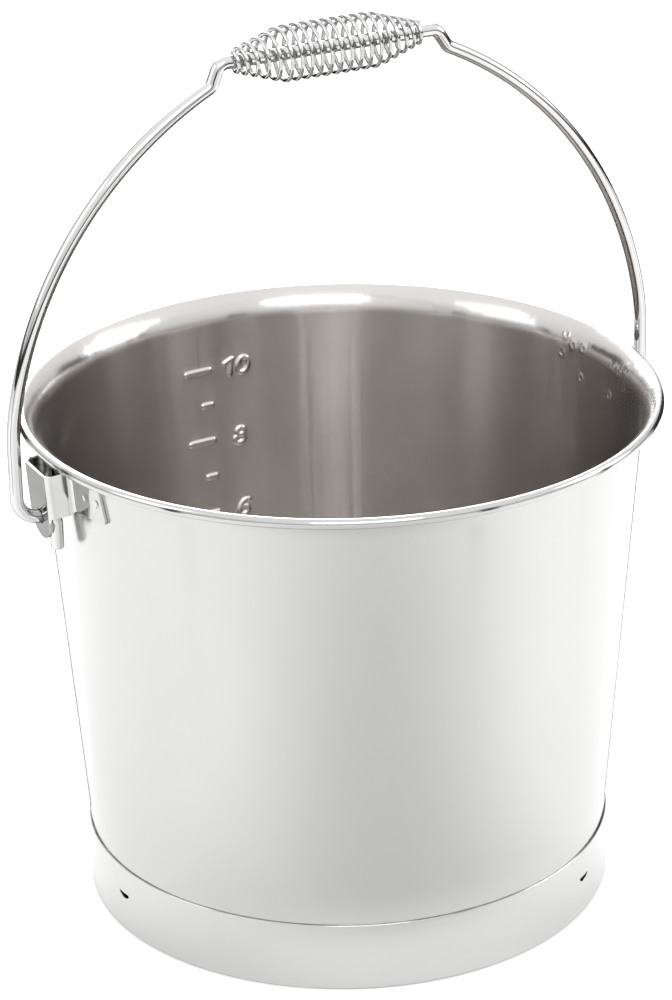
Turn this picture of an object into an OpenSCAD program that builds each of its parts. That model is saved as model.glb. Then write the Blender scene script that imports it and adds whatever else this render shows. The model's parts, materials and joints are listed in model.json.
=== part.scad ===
// Stainless steel pail with a foot ring, two bracket ears and a swinging wire bail.
// Millimetres. +Z is up, the floor is z = 0 and the pail's axis is the Z axis.
// The bail swings about a line parallel to X, and its ears are on the -X and +X sides.

/* [Pail body] */
// Height of the rim above the floor
pail_h = 240; // [200:1:280]
// Outer radius of the rolled rim
rim_r = 147; // [135:0.5:160]
// Outer radius of the wall just above the foot ring
wall_foot_r = 122.13; // [115:0.01:130]
// Outward lean of the wall, in millimetres of radius for each millimetre of height
wall_slope = 0.0776; // [0.06:0.0002:0.085]
// Thickness of the steel sheet
sheet = 0.8; // [0.6:0.1:1]
// Height of the inside of the bottom above the floor
bottom_z = 8.7; // [8:0.1:16]

/* [Rolled rim] */
// Outer radius of the rolled bead
bead_r = 2.35; // [2.1:0.05:3]
// Lean of the flare from the vertical where it runs into the bead, in degrees
flare_lean = 56; // [40:1:60]
// Radius of the flare below the bead
flare_r = 15.25; // [10:0.05:20]

/* [Foot ring] */
// Height of the foot ring
ring_h = 32.5; // [25:0.1:40]
// Outer radius of the foot ring at its top edge
ring_top_r = 123; // [115:0.1:130]
// Outer radius of the foot ring at the floor
ring_foot_r = 123.1; // [115:0.1:130]
// Number of drain slots in the foot ring
slot_count = 3; // [2:1:6]
// Length of a drain slot around the ring
slot_l = 8.4; // [5:0.1:15]
// Height of a drain slot
slot_h = 2.8; // [1:0.1:4]
// Height of the drain slots above the floor
slot_z = 18.4; // [12:0.1:24]

/* [Litre scale] */
// Largest number on the scale, in litres
scale_litres = 10; // [4:1:11]
// Length of a dash at an even number of litres
long_dash = 16; // [10:0.5:20]
// Length of a dash at an odd number of litres
short_dash = 7.5; // [5:0.5:10]

/* [Ears] */
// Height of the bail's hinge line above the floor
hinge_z = 210.4; // [195:0.1:218]
// Distance from the pail's axis to the outer face of an ear at the hinge line
ear_face_x = 148.9; // [146:0.1:155]
// Width of an ear's box
ear_w = 25.4; // [20:0.1:32]
// Width of an ear over the lower ends of both of its wings
wing_span = 72; // [56:1:80]
// Thickness of the ear's sheet
ear_sheet = 1.5; // [1:0.1:2]
// Radius of the rounded tongue around the bail's hole
tongue_r = 10.2; // [8:0.1:12]

/* [Bail] */
// Diameter of the bail's rod
rod_d = 6; // [5:0.1:7]
// Distance from the pail's axis to the rod beside an ear
bail_half_w = 159.5; // [157:0.1:165]
// Height of the grip's axis above the hinge line
grip_rise = 191.6; // [185:0.1:200]
// Length of the tail below the hinge line
tail_drop = 17; // [14:0.1:20]

/* [Grip spring] */
// Largest outer radius of the spring
coil_r = 12.7; // [10:0.1:14]
// Outer radius of the spring's end turns
coil_end_r = 5.3; // [5:0.1:6]
// Diameter of the spring wire
coil_wire_d = 1.9; // [1:0.1:2.2]
// Length of the spring between the axes of its end turns
coil_l = 92; // [80:0.5:94]
// Number of turns
coil_turns = 20; // [12:0.5:22]

/* [Hidden] */

steel_polished = [0.86, 0.86, 0.85];
steel_satin = [0.74, 0.73, 0.72];
steel_bright = [0.92, 0.92, 0.92];

// Facets around the pail and around the thin rods
pail_fn = 180;
rod_fn = 40;
// Hair-line gap between sheets that are welded face to face
weld_gap = 0.05;
// Overshoot of a cutting shape
cut = 1;

// --- Wall and rim -------------------------------------------------------------------------
// Lean of the wall from the vertical
wall_lean = atan(wall_slope);
// Horizontal thickness of the leaning sheet
sheet_across = sheet / cos(wall_lean);
// Radius of the middle of the bead, and its height
bead_x = rim_r - bead_r;
bead_z = pail_h - bead_r;
// Radius of the middle of the curled sheet around the bead's centre
curl_mid_r = bead_r - sheet / 2;
// The middle of the flare's sheet ends here, where it runs over the bead
flare_end_x = bead_x - curl_mid_r * cos(flare_lean);
flare_end_z = bead_z + curl_mid_r * sin(flare_lean);
// Centre of the flare's arc
flare_cx = flare_end_x + flare_r * cos(flare_lean);
flare_cz = flare_end_z - flare_r * sin(flare_lean);
// Height where the straight wall turns into the flare
flare_z = flare_cz + flare_r * sin(wall_lean);
// The sheet runs this far around the wire, in degrees, and stops short of the flare's underside
curl_turn = 280;

// The wall steps in a little behind the foot ring
step_z = ring_h + 0.4;
step_h = 0.9;
// Lower edge of the wall, inside the foot ring
wall_low_z = 5;
// Outer radius of the wall at height z, above the step and behind the ring
function wall_r(z) = wall_foot_r + wall_slope * (z - ring_h);
tuck_r = ring_top_r - sheet - weld_gap;
function tuck_wall_r(z) = tuck_r + wall_slope * (z - ring_h);
// Height of the wall's outer skin where the flare begins
flare_skin_z = flare_z - sheet / 2 * sin(wall_lean);

// --- Litre scale --------------------------------------------------------------------------
// Inner radius of the wall at the bottom, then at the level of so many litres.
// The inside is a cone, so the cube of its radius grows evenly with the volume.
inner_foot_r = wall_r(bottom_z) - sheet_across;
cubic_mm = 1000000;
function level_r(litres) = pow(pow(inner_foot_r, 3) + 3 * wall_slope * litres * cubic_mm / PI, 1 / 3);
function level_z(litres) = bottom_z + (level_r(litres) - inner_foot_r) / wall_slope;
// Direction of the scale's dashes, seen from above, and their cross-section
dash_az = 90.7;
dash_w = 1.4;
dash_rise = 0.45;

// --- Foot ring ----------------------------------------------------------------------------
// Hem at the ring's lower edge
hem_h = 4;
hem_gap = 0.1;
// Direction of the first drain slot
slot_az = 65.4;

// --- Bottom -------------------------------------------------------------------------------
panel_r = 96;
panel_drop = 1.4;
panel_slant = 3;

// --- Ears ---------------------------------------------------------------------------------
ear_bend_r = 3;
ear_top_z = 233.2;
ear_low_z = 212.7;
wing_top_z = 228.6;
wing_low_z = 214.4;
// A wing is this much shorter at its top than at its bottom
wing_taper = 3;
// Width of wing left beside the box above and below the wing
wing_root = 0.5;
// Depth from the box's face to the wall, and a length well past it
ear_depth = (ear_face_x - wall_r(hinge_z)) * cos(wall_lean);
ear_reach = 2 * ear_depth;
// Radius of the wings' curve, square to the leaning wall
wing_curve_r = wall_r((wing_low_z + wing_top_z) / 2) / cos(wall_lean);
// Radial play of the rod in the ear's hole, and the reach of the drill either side of the face
hole_play = 0.5;
drill_reach = 10;

// --- Bail ---------------------------------------------------------------------------------
rod_r = rod_d / 2;
// Each side is a short leg, a bend of radius side_r, then a wide arc of radius top_r
leg_top = 31.5;
side_r = 113;
side_turn = 10.8;
top_r = 181;
// Where the rod steps up to the grip, on the -X side and on the +X side: distance from the
// middle of the bail to the foot of the step, and the step's lean
joggle_x = [61.4, 58.4];
joggle_lean = [68, 57];
joggle_r = 5.5;
// Bends beside the ear and behind its face
ear_turn_r = 10.6;
tail_turn_r = 5;
// A short straight links two bends that follow each other
link_l = 0.5;
// Centre of the wide arc, measured from the middle of the hinge line
arc_cx = bail_half_w - side_r + (side_r - top_r) * cos(side_turn) - link_l * sin(side_turn);
arc_cz = leg_top + (side_r - top_r) * sin(side_turn) + link_l * cos(side_turn);
// Slope of the wide arc at the foot of each step, and the height of the link's upper end
joggle_slope = [for (x = joggle_x) asin((x - arc_cx) / top_r)];
joggle_z = [for (slope = joggle_slope) arc_cz + top_r * cos(slope) + link_l * sin(slope)];
// Height gained in the two bends of a step, and the straight length between them
joggle_rise = [for (i = [0, 1]) joggle_r * (1 + cos(joggle_slope[i]) - 2 * cos(joggle_lean[i]))];
joggle_straight = [for (i = [0, 1]) (grip_rise - joggle_z[i] - joggle_rise[i]) / sin(joggle_lean[i])];
joggle_bends = [for (i = [0, 1]) joggle_r * (2 * sin(joggle_lean[i]) - sin(joggle_slope[i]))];
// Each end of the straight rod inside the grip, measured from the middle of the bail
grip_end = [for (i = [0, 1])
    joggle_x[i] - link_l * cos(joggle_slope[i]) - joggle_bends[i]
        - joggle_straight[i] * cos(joggle_lean[i])];
grip_l = grip_end[0] + grip_end[1];
grip_x = (grip_end[1] - grip_end[0]) / 2;
// Straight stretches: the leg, the pin in the ear's hole and the tail
leg_l = leg_top - ear_turn_r;
tail_x = 141.5;
pin_l = bail_half_w - ear_turn_r - tail_turn_r - tail_x;
tail_l = tail_drop - tail_turn_r;
// A straight is a hair thinner than the bends and reaches a little way into them
straight_r = rod_r - 0.01;
straight_reach = 0.3;
// Rod from the grip to the tail on side i, as [radius, turn] bends and [0, length] straights.
// A bend with a positive turn curves upwards or outwards.
function bail_path(i) = [
    [joggle_r, -joggle_lean[i]],
    [0, joggle_straight[i]],
    [joggle_r, joggle_lean[i] - joggle_slope[i]],
    [0, link_l],
    [top_r, joggle_slope[i] + side_turn - 90],
    [0, link_l],
    [side_r, -side_turn],
    [0, leg_l],
    [ear_turn_r, -90],
    [0, pin_l],
    [tail_turn_r, 90],
    [0, tail_l]
];

// --- Grip spring --------------------------------------------------------------------------
// The spring is free to slide on the rod, and its middle rests a little to -X
spring_x = -2.8;
// Half-length of the spring's full-width middle, between the axes of its turns
coil_mid_half = 22.5;
// The turns close up towards the ends: the middle is opened by this share, the ends closed
coil_close = 0.05;
coil_close_power = 9;
coil_ring_sides = 6;
coil_steps_per_turn = 24;
coil_wire_r = coil_wire_d / 2;

// Everything in place
wall();
bottom();
foot_ring();
rim_wire();
ear_left();
ear_right();
bail();
grip_spring();

// Tapered wall: sheet rolled to a cone, tucked in at the foot and curled over the rim wire
module wall() {
    color(steel_polished) {
        rotate_extrude($fn = pail_fn) {
            tucked_foot_section();
            straight_wall_section();
            flare_section();
            curl_section();
        }
        litre_dashes();
    }
}

module tucked_foot_section() {
    polygon([
        [tuck_wall_r(wall_low_z), wall_low_z],
        [tuck_wall_r(step_z), step_z],
        [wall_r(step_z + step_h), step_z + step_h],
        [wall_r(step_z + step_h) - sheet_across, step_z + step_h],
        [tuck_wall_r(step_z) - sheet_across, step_z + sheet / 2],
        [tuck_wall_r(wall_low_z) - sheet_across, wall_low_z]
    ]);
}

module straight_wall_section() {
    low = step_z + step_h;
    polygon([
        [wall_r(low), low],
        [wall_r(flare_skin_z), flare_skin_z],
        [wall_r(flare_skin_z) - sheet * cos(wall_lean), flare_skin_z + sheet * sin(wall_lean)],
        [wall_r(low) - sheet_across, low]
    ]);
}

// Sector of a flat ring, from one angle to another, for a section made of arcs
module ring_sector(mid_r, from, to) {
    reach = 2 * mid_r;
    steps = 4;
    intersection() {
        difference() {
            circle(r = mid_r + sheet / 2, $fn = 96);
            circle(r = mid_r - sheet / 2, $fn = 96);
        }
        polygon(concat([[0, 0]], [
            for (i = [0 : steps])
                let (a = from + (to - from) * i / steps) [reach * cos(a), reach * sin(a)]
        ]));
    }
}

module flare_section() {
    translate([flare_cx, flare_cz])
        ring_sector(flare_r, 180 - flare_lean, 180 - wall_lean);
}

module curl_section() {
    translate([bead_x, bead_z])
        ring_sector(curl_mid_r, 180 - flare_lean - curl_turn, 180 - flare_lean);
}

// Raised dash at every litre, long at the even ones
module litre_dashes() {
    for (litres = [1 : scale_litres])
        litre_dash(litres, litres % 2 == 0 ? long_dash : short_dash);
}

module litre_dash(litres, length) {
    inner_r = level_r(litres);
    turn = length / inner_r * 180 / PI;
    rotate([0, 0, dash_az])
        rotate_extrude(angle = turn, $fn = pail_fn)
            translate([inner_r - dash_rise, level_z(litres) - dash_w / 2])
                square([dash_rise + sheet / 2, dash_w]);
}

// Bottom pan: a disc with a pressed centre panel and a flange turned down inside the wall
module bottom() {
    edge_r = tuck_wall_r(wall_low_z) - sheet_across - weld_gap;
    color(steel_satin)
        rotate_extrude($fn = pail_fn)
            polygon([
                [0, bottom_z - panel_drop],
                [panel_r - panel_slant, bottom_z - panel_drop],
                [panel_r, bottom_z],
                [edge_r, bottom_z],
                [edge_r, wall_low_z],
                [edge_r - sheet, wall_low_z],
                [edge_r - sheet, bottom_z - sheet],
                [panel_r, bottom_z - sheet],
                [panel_r - panel_slant, bottom_z - panel_drop - sheet],
                [0, bottom_z - panel_drop - sheet]
            ]);
}

// Foot ring: a skirt welded around the tucked-in wall, with a hem and lanced drain slots
module foot_ring() {
    hem_in = 2 * sheet + hem_gap;
    color(steel_polished)
        difference() {
            rotate_extrude($fn = pail_fn)
                polygon([
                    [ring_foot_r, 0],
                    [ring_top_r, ring_h],
                    [ring_top_r - sheet, ring_h],
                    [ring_foot_r - sheet, sheet],
                    [ring_foot_r - sheet - hem_gap, sheet],
                    [ring_foot_r - sheet - hem_gap, hem_h],
                    [ring_foot_r - hem_in, hem_h],
                    [ring_foot_r - hem_in, 0]
                ]);
            for (i = [0 : slot_count - 1])
                rotate([0, 0, slot_az + 360 * i / slot_count])
                    drain_slot();
        }
}

module drain_slot() {
    depth = 4 * sheet;
    end_r = slot_h / 2;
    translate([ring_top_r - depth, 0, slot_z])
        rotate([0, 90, 0]) {
            translate([-end_r, end_r - slot_l / 2, 0])
                cube([slot_h, slot_l - slot_h, 2 * depth]);
            for (side = [-1, 1])
                translate([0, side * (slot_l / 2 - end_r), 0])
                    cylinder(h = 2 * depth, r = end_r, $fn = 24);
        }
}

// Reinforcing wire that the rim is curled around
module rim_wire() {
    wire_r = bead_r - sheet - weld_gap;
    color(steel_satin)
        rotate_extrude($fn = pail_fn)
            translate([bead_x, bead_z])
                circle(r = wire_r, $fn = 32);
}

// Ear on the -X side
module ear_left() {
    mirror([1, 0, 0]) ear_right();
}

// Ear: a bracket bent from one sheet, a box open at the top and bottom with a wing on each
// side, welded below the rim. It leans with the wall about the middle of its face.
module ear_right() {
    height = ear_top_z - hinge_z + 2 * tongue_r;
    color(steel_bright)
        difference() {
            translate([ear_face_x, 0, hinge_z])
                rotate([0, wall_lean, 0])
                    intersection() {
                        translate([0, 0, -2 * tongue_r])
                            linear_extrude(height + cut)
                                ear_section();
                        translate([-ear_reach, 0, 0])
                            rotate([90, 0, 90])
                                linear_extrude(2 * ear_reach)
                                    ear_outline();
                    }
            flare_clearance();
            hinge_hole();
        }
}

// The bent sheet seen from above: the box's face and sides, and the wings along the wall
module ear_section() {
    wall_centre = -ear_depth - wing_curve_r;
    difference() {
        union() {
            difference() {
                rounded_front(ear_reach, ear_w, ear_bend_r);
                translate([-ear_sheet, 0])
                    rounded_front(ear_reach, ear_w - 2 * ear_sheet, ear_bend_r - ear_sheet);
            }
            for (side = [0, 1])
                mirror([0, side])
                    intersection() {
                        translate([wall_centre, 0])
                            circle(r = wing_curve_r + weld_gap + ear_sheet, $fn = pail_fn);
                        translate([-2 * ear_reach, (ear_w - ear_sheet) / 2])
                            square([2 * ear_reach, wing_span]);
                    }
        }
        translate([wall_centre, 0])
            circle(r = wing_curve_r + weld_gap, $fn = pail_fn);
    }
}

// The ear seen from the front: the box, the tongue around the hole and the spreading wings
module ear_outline() {
    box_low = ear_low_z - hinge_z;
    wing_low = wing_low_z - hinge_z;
    wing_top = wing_top_z - hinge_z;
    box_half = ear_w / 2 + wing_root;
    translate([-box_half, box_low])
        square([2 * box_half, ear_top_z - ear_low_z]);
    circle(r = tongue_r, $fn = 64);
    translate([-tongue_r, 0])
        square([2 * tongue_r, box_low + cut]);
    polygon([
        [-wing_span / 2, wing_low],
        [wing_span / 2, wing_low],
        [wing_span / 2 - wing_taper, wing_top],
        [wing_taper - wing_span / 2, wing_top]
    ]);
}

module rounded_front(depth, width, bend) {
    translate([-depth, -width / 2])
        square([depth - bend, width]);
    translate([-bend - cut, bend - width / 2])
        square([bend + cut, width - 2 * bend]);
    for (side = [-1, 1])
        translate([-bend, side * (width / 2 - bend)])
            circle(r = bend, $fn = 32);
}

// Room for the wall's flare behind the top of the box
module flare_clearance() {
    translate([0, 0, wing_top_z + cut / 2])
        cylinder(h = pail_h - wing_top_z, r = flare_skin(ear_top_z), $fn = pail_fn);
}

// Radius of the flare's outer skin at height z, with a little room
function flare_skin(z) = flare_cx - sqrt(pow(flare_r - sheet, 2) - pow(z - flare_cz, 2));

module hinge_hole() {
    translate([ear_face_x - drill_reach, 0, hinge_z])
        rotate([0, 90, 0])
            cylinder(h = 2 * drill_reach, r = rod_r + hole_play, $fn = rod_fn);
}

// Bail: one bent rod
module bail() {
    color(steel_bright)
        translate([0, 0, hinge_z + grip_rise]) {
            translate([grip_x - grip_l / 2, 0, 0])
                rotate([0, 90, 0])
                    rod_straight(grip_l);
            mirror([1, 0, 0])
                bail_side(0);
            bail_side(1);
        }
}

module bail_side(i) {
    translate([grip_end[i], 0, 0])
        rotate([0, 90, 0])
            rod_along(bail_path(i), 0);
}

// Sweeps the rod along the path's items from number i on, starting along local +Z.
// Local -X is the bail's up or outward side, so a positive turn bends towards -X.
module rod_along(path, i) {
    if (i < len(path)) {
        item = path[i];
        if (item[0] == 0) {
            rod_straight(item[1]);
            translate([0, 0, item[1]])
                rod_along(path, i + 1);
        } else {
            side = item[1] > 0 ? -1 : 1;
            turn = abs(item[1]);
            translate([side * item[0], 0, 0]) {
                rotate([90, 0, 0])
                    rod_bend(item[0], turn, side);
                rotate([0, side * turn, 0])
                    translate([-side * item[0], 0, 0])
                        rod_along(path, i + 1);
            }
        }
    }
}

module rod_straight(length) {
    translate([0, 0, -straight_reach])
        cylinder(h = length + 2 * straight_reach, r = straight_r, $fn = rod_fn);
}

// Part of a ring of rod, in the local XY plane, on the -X or the +X side of its centre
module rod_bend(bend_r, turn, side) {
    from = side > 0 ? 180 - turn : 0;
    rotate([0, 0, from])
        rotate_extrude(angle = turn, $fn = pail_fn)
            translate([bend_r, 0])
                circle(r = rod_r, $fn = rod_fn);
}

// Grip spring: one open coil that tapers to both ends and turns freely on the rod
module grip_spring() {
    steps = coil_turns * coil_steps_per_turn;
    sides = coil_ring_sides;
    points = [
        for (i = [0 : steps])
            for (k = [0 : sides - 1])
                coil_point(i / steps, 360 * k / sides)
    ];
    skin = [
        for (i = [0 : steps - 1])
            for (k = [0 : sides - 1])
                let (a = i * sides, b = (k + 1) % sides)
                    [a + k, a + b, a + sides + b, a + sides + k]
    ];
    start_cap = [[for (k = [sides - 1 : -1 : 0]) k]];
    end_cap = [[for (k = [0 : sides - 1]) steps * sides + k]];
    color(steel_bright)
        translate([spring_x, 0, hinge_z + grip_rise])
            polyhedron(points = points, faces = concat(start_cap, skin, end_cap), convexity = 20);
}

// Radius of the middle of the spring wire at a distance x from the grip's middle
function coil_mid_r(x) =
    let (taper = max(0, abs(x) - coil_mid_half) / (coil_l / 2 - coil_mid_half))
    coil_r - coil_wire_r - (coil_r - coil_end_r) * taper;

// Place along the spring, from its middle, at a share t of its turns
function coil_x(t) =
    let (v = 2 * t - 1)
    coil_l / 2 * ((1 + coil_close) * v - coil_close * pow(v, coil_close_power));

// Point on the wire's skin, at a share t of the turns and an angle around the wire
function coil_point(t, angle) =
    let (
        x = coil_x(t),
        turn = 360 * coil_turns * t,
        r = coil_mid_r(x) + coil_wire_r * cos(angle)
    )
    [x + coil_wire_r * sin(angle), -r * sin(turn), r * cos(turn)];
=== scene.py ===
import json
import math

import bpy
import numpy as np
from mathutils import Euler, Matrix, Vector


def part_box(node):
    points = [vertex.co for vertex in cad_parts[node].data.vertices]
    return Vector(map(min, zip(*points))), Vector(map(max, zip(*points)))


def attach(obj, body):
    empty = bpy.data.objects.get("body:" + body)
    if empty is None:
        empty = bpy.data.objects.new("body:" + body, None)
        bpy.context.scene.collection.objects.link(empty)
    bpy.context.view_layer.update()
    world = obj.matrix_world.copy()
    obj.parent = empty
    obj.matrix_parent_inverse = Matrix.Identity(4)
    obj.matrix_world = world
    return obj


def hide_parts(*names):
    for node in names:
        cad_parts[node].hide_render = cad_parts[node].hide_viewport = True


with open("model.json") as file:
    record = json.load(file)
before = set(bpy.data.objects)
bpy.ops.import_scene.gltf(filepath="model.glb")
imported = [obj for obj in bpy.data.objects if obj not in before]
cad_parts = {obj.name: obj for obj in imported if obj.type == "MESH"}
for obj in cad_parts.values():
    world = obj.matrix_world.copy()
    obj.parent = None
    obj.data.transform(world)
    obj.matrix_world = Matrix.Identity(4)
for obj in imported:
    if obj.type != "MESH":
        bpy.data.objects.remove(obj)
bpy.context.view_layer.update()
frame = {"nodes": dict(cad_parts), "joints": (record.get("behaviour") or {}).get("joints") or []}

# ---------------------------------------------------------------------------------------------
# Dimensions. Lengths are millimetres until a mesh is made. Angles are degrees, apart from the
# three of the wall that are turned into radians here.
# The driving ones come from the frame: the pail stands on z = 0 around the Z axis, and the
# bail's hinge line runs along X.
# ---------------------------------------------------------------------------------------------
MM = 0.001


def top_corner(node):
    """Highest corner of a CAD node, in millimetres."""
    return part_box(node)[1] / MM


def joint_height(name):
    """Height of a hinge's axis, in millimetres."""
    joint = next(j for j in frame["joints"] if j["name"] == name)
    return joint["pos_m"][2] / MM


# The CAD's rim is a many-sided ring, so its narrower side is the one to stay inside
RIM_R = min(top_corner("wall").x, top_corner("wall").y)
PAIL_H = top_corner("wall").z
RING_H = top_corner("foot_ring").z
RING_FOOT_R = top_corner("foot_ring").x
HINGE_Z = joint_height("bail_swing")
GRIP_Z = joint_height("grip_spin")

# Sheet, wall and rim
SHEET = 0.8
# Radius gained per millimetre of height, and the outer radius at the foot ring's top
WALL_SLOPE = 0.0776
WALL_FOOT_R = 122.13
WALL_LEAN = math.atan(WALL_SLOPE)
WALL_LOW_Z = 5.0
BEAD_R = 2.35
FLARE_R = 15.25
FLARE_LEAN = math.radians(56)
FLARE_START_Z = 229.0
FLARE_STEPS = 16
CURL_TURN = math.radians(280)
CURL_STEPS = 40
# The wall steps in between these heights, to the outer radius that goes behind the foot ring
STEP_LOW = RING_H + 0.5
STEP_HIGH = RING_H + 0.9
TUCK_R = 121.9

# Foot ring and bottom
RING_TOP_R = 123.0
HEM_H = 4.0
HEM_GAP = 0.05
SLOT_COUNT = 3
SLOT_L = 8.4
SLOT_H = 2.8
SLOT_Z = 18.4
SLOT_AZ = 65.4
# How far the sheet below a slot is pushed in, how fast that fades downwards, and where it stops
SLOT_PUSH, SLOT_PUSH_FADE, SLOT_PUSH_LOW_Z = 0.55, 2.2, HEM_H + 2
BOTTOM_Z = 8.7
BOTTOM_BEND_R = 1.6
PANEL_R = 96.0
PANEL_DROP = 1.4
PANEL_EDGE_HALF = 6
PANEL_CROWN = 0.35
CENTRE_R = 0.4

# Litre scale, with a litre in cubic millimetres
SCALE_LITRES = 10
LITRE = 1.0e6
LONG_DASH = 16.0
SHORT_DASH = 7.5
# Azimuths of the dashes' inner ends and of the numbers' middles
DASH_AZ = 90.7
DIGIT_AZ = 85.3
DIGIT_PITCH = 7.0
DIGIT_SLANT = 0.19
PRESS_DEPTH = 0.7
# Half widths of a pressed stroke at its flat top and at its foot, and the soft dip around it
DASH_FLAT, DASH_EDGE = 0.9, 1.8
DIGIT_FLAT, DIGIT_EDGE = 0.45, 1.4
HALO_DEPTH, HALO_R = 0.12, 2.6

# Ears
EAR_SHEET = 1.5
EAR_W = 25.4
EAR_BEND_R = 3.0
EAR_ROOT_R = 3.2
# The bend at a wing's root stops this many radians short of a right angle, as the wall curves
EAR_ROOT_STOP = 0.11
EAR_EDGE = 0.22
EAR_FACE_X = 148.9
EAR_TOP_Z = 233.2
EAR_LOW_Z = 212.7
WING_SPAN = 72.0
WING_TOP_Z = 231.6
WING_LOW_Z = 214.4
WING_TAPER = 3.0
WING_CORNER_R = 2.0
# Length of the sheet over which the box's heights change to a wing's
WING_BLEND = 6
TONGUE_R = 10.2
NECK_R = 1.2
HOLE_R = 3.5
WELD_GAP = 0.05
# Spot welds on a wing: distance from the ear's middle, and height
SPOT_WELDS = ((22.7, 224.0), (30.5, 223.5))
SPOT_DEPTH, SPOT_FLAT, SPOT_EDGE = 0.25, 0.8, 2.8
# Rings that the welds leave inside the wall: degrees from the ear's middle, and height
WELD_MARKS = ((11.25, 233.6), (8.7, 229.9), (11.8, 224.3), (5.45, 215.9), (5.5, 230.2))
WELD_MARK_R, WELD_MARK_EDGE, WELD_MARK_RISE = 1.8, 1.1, 0.3
# Degrees from an ear's middle, and lowest height, of the wall's stretch with these rings
WELD_BAND = (3.4, 13.4)
WELD_LOW_Z = 212.6

# Bail
ROD_R = 3.0
ROD_EDGE = 0.9
LEG_X = 159.5
LEG_TOP = 31.5
SIDE_R = 113.0
SIDE_TURN = 10.8
TOP_R = 181.0
LINK_L = 0.5
JOGGLE_R = 5.5
# Step up to the grip: side in X, distance of its foot from the middle, and its lean
JOGGLES = ((-1, 61.4, 68.0), (1, 58.4, 57.0))
EAR_TURN_R = 10.6
TAIL_TURN_R = 5.0
TAIL_X = 141.5
TAIL_DROP = 17.0

# Grip spring
COIL_X = -2.8
COIL_R = 12.7
COIL_END_R = 5.3
COIL_WIRE_R = 0.95
COIL_WIRE_EDGE = 0.2
COIL_L = 92.0
COIL_TURNS = 20
COIL_MID_HALF = 22.5
# The turns close up towards the ends by a small share of a high power of the way along
COIL_CLOSE = 0.05
COIL_CLOSE_POWER = 9

# Fineness of the meshes: counts of steps, rows, columns and sides
EDGE_STEPS = 4
WALL_ROWS = 28
SLOT_STEPS = 13
PAN_COLUMNS = 180
EAR_ROWS, WING_COLUMNS = 48, 46
HOLE_SIDES = 64
ROD_STEP, ROD_SIDES = 2.5, 40
COIL_STEPS_PER_TURN, COIL_SIDES = 60, 14
# The wall's fine step at the scale, how much coarser it is at the welds, half the heights that
# it covers at a mark with a number and at a plain dash, and the coarse step around the wall
FINE, WELD_COARSER = 0.36, 1.5
NUMBER_HALF, DASH_HALF = 5.6, 2.2
WALL_COLUMN_TURN = 2.25
# The foot ring's fine columns at a slot: how far they reach, their step, and the rest's count
SLOT_NEAR, SLOT_FINE, SLOT_FAR_COLUMNS = 4.5, 0.25, 76


# ---------------------------------------------------------------------------------------------
# Mesh helpers
# ---------------------------------------------------------------------------------------------
def finish_object(name, verts, faces, smooth=True):
    """Object from vertices in millimetres and faces of any size."""
    mesh = bpy.data.meshes.new(name)
    mesh.from_pydata((np.asarray(verts, float) * MM).tolist(), [], faces)
    mesh.validate()
    mesh.polygons.foreach_set("use_smooth", [smooth] * len(mesh.polygons))
    obj = bpy.data.objects.new(name, mesh)
    bpy.context.scene.collection.objects.link(obj)
    return obj


def grid_faces(rows, cols, close_rows, close_cols):
    """Quads over a grid of rows x cols points, numbered row by row."""
    r = np.arange(rows if close_rows else rows - 1)
    c = np.arange(cols if close_cols else cols - 1)
    r, c = np.meshgrid(r, c, indexing="ij")
    r1, c1 = (r + 1) % rows, (c + 1) % cols
    quads = np.stack([r * cols + c, r * cols + c1, r1 * cols + c1, r1 * cols + c], axis=-1)
    return quads.reshape(-1, 4).tolist()


def lathe_points(profile, azimuths):
    """Points of a profile of (radius, height) rows turned to each azimuth in degrees."""
    a = np.radians(azimuths)[None, :]
    r, z = profile[:, 0][:, None], profile[:, 1][:, None]
    return np.stack([r * np.cos(a), r * np.sin(a), z + 0 * a], axis=-1)


def arc(cx, cz, radius, start, end, steps):
    """Points along an arc, with angles in radians."""
    a = np.linspace(start, end, steps + 1)
    return np.stack([cx + radius * np.cos(a), cz + radius * np.sin(a)], axis=1)


def line(p, q, step):
    """Points from p to q about a step apart."""
    p, q = np.array(p, float), np.array(q, float)
    n = max(1, int(math.ceil(np.linalg.norm(q - p) / step)))
    return p + (q - p) * np.linspace(0, 1, n + 1)[:, None]


def join_points(*parts):
    """Chains point lists into one and drops points that repeat."""
    pts = np.concatenate(parts)
    keep = np.ones(len(pts), bool)
    keep[1:] = np.linalg.norm(np.diff(pts, axis=0), axis=1) > 1e-4
    return pts[keep]


def normals_2d(pts):
    """Unit normals on the left of an open line of 2-D points."""
    t = np.gradient(pts, axis=0)
    t /= np.linalg.norm(t, axis=1)[:, None]
    return np.stack([-t[:, 1], t[:, 0]], axis=1)


def sheet_section(mid, thickness):
    """Closed outline of a sheet whose middle runs along an open line: its left side, a rounded
    end, its right side backwards and the other rounded end. Also returns how many points the
    left side has."""
    half = thickness / 2
    n = normals_2d(mid)
    left, right = mid + n * half, mid - n * half
    caps = []
    for i, sign in ((-1, 1), (0, -1)):
        ahead = np.array([n[i][1], -n[i][0]]) * sign
        a = np.linspace(0, math.pi, EDGE_STEPS + 2)[1:-1]
        side = n[i] * sign
        caps.append(mid[i] + half * (np.cos(a)[:, None] * side + np.sin(a)[:, None] * ahead))
    return np.concatenate([left, caps[0], right[::-1], caps[1]]), len(left)


def smoothstep(low, high, x):
    t = np.clip((x - low) / (high - low), 0, 1)
    return t * t * (3 - 2 * t)


def push_inwards(points, depth):
    """Moves points of a round wall towards its axis by a depth each."""
    out = points.copy()
    out[..., 2] = 0
    out /= np.linalg.norm(out, axis=-1)[..., None]
    return points - out * depth[..., None]


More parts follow.
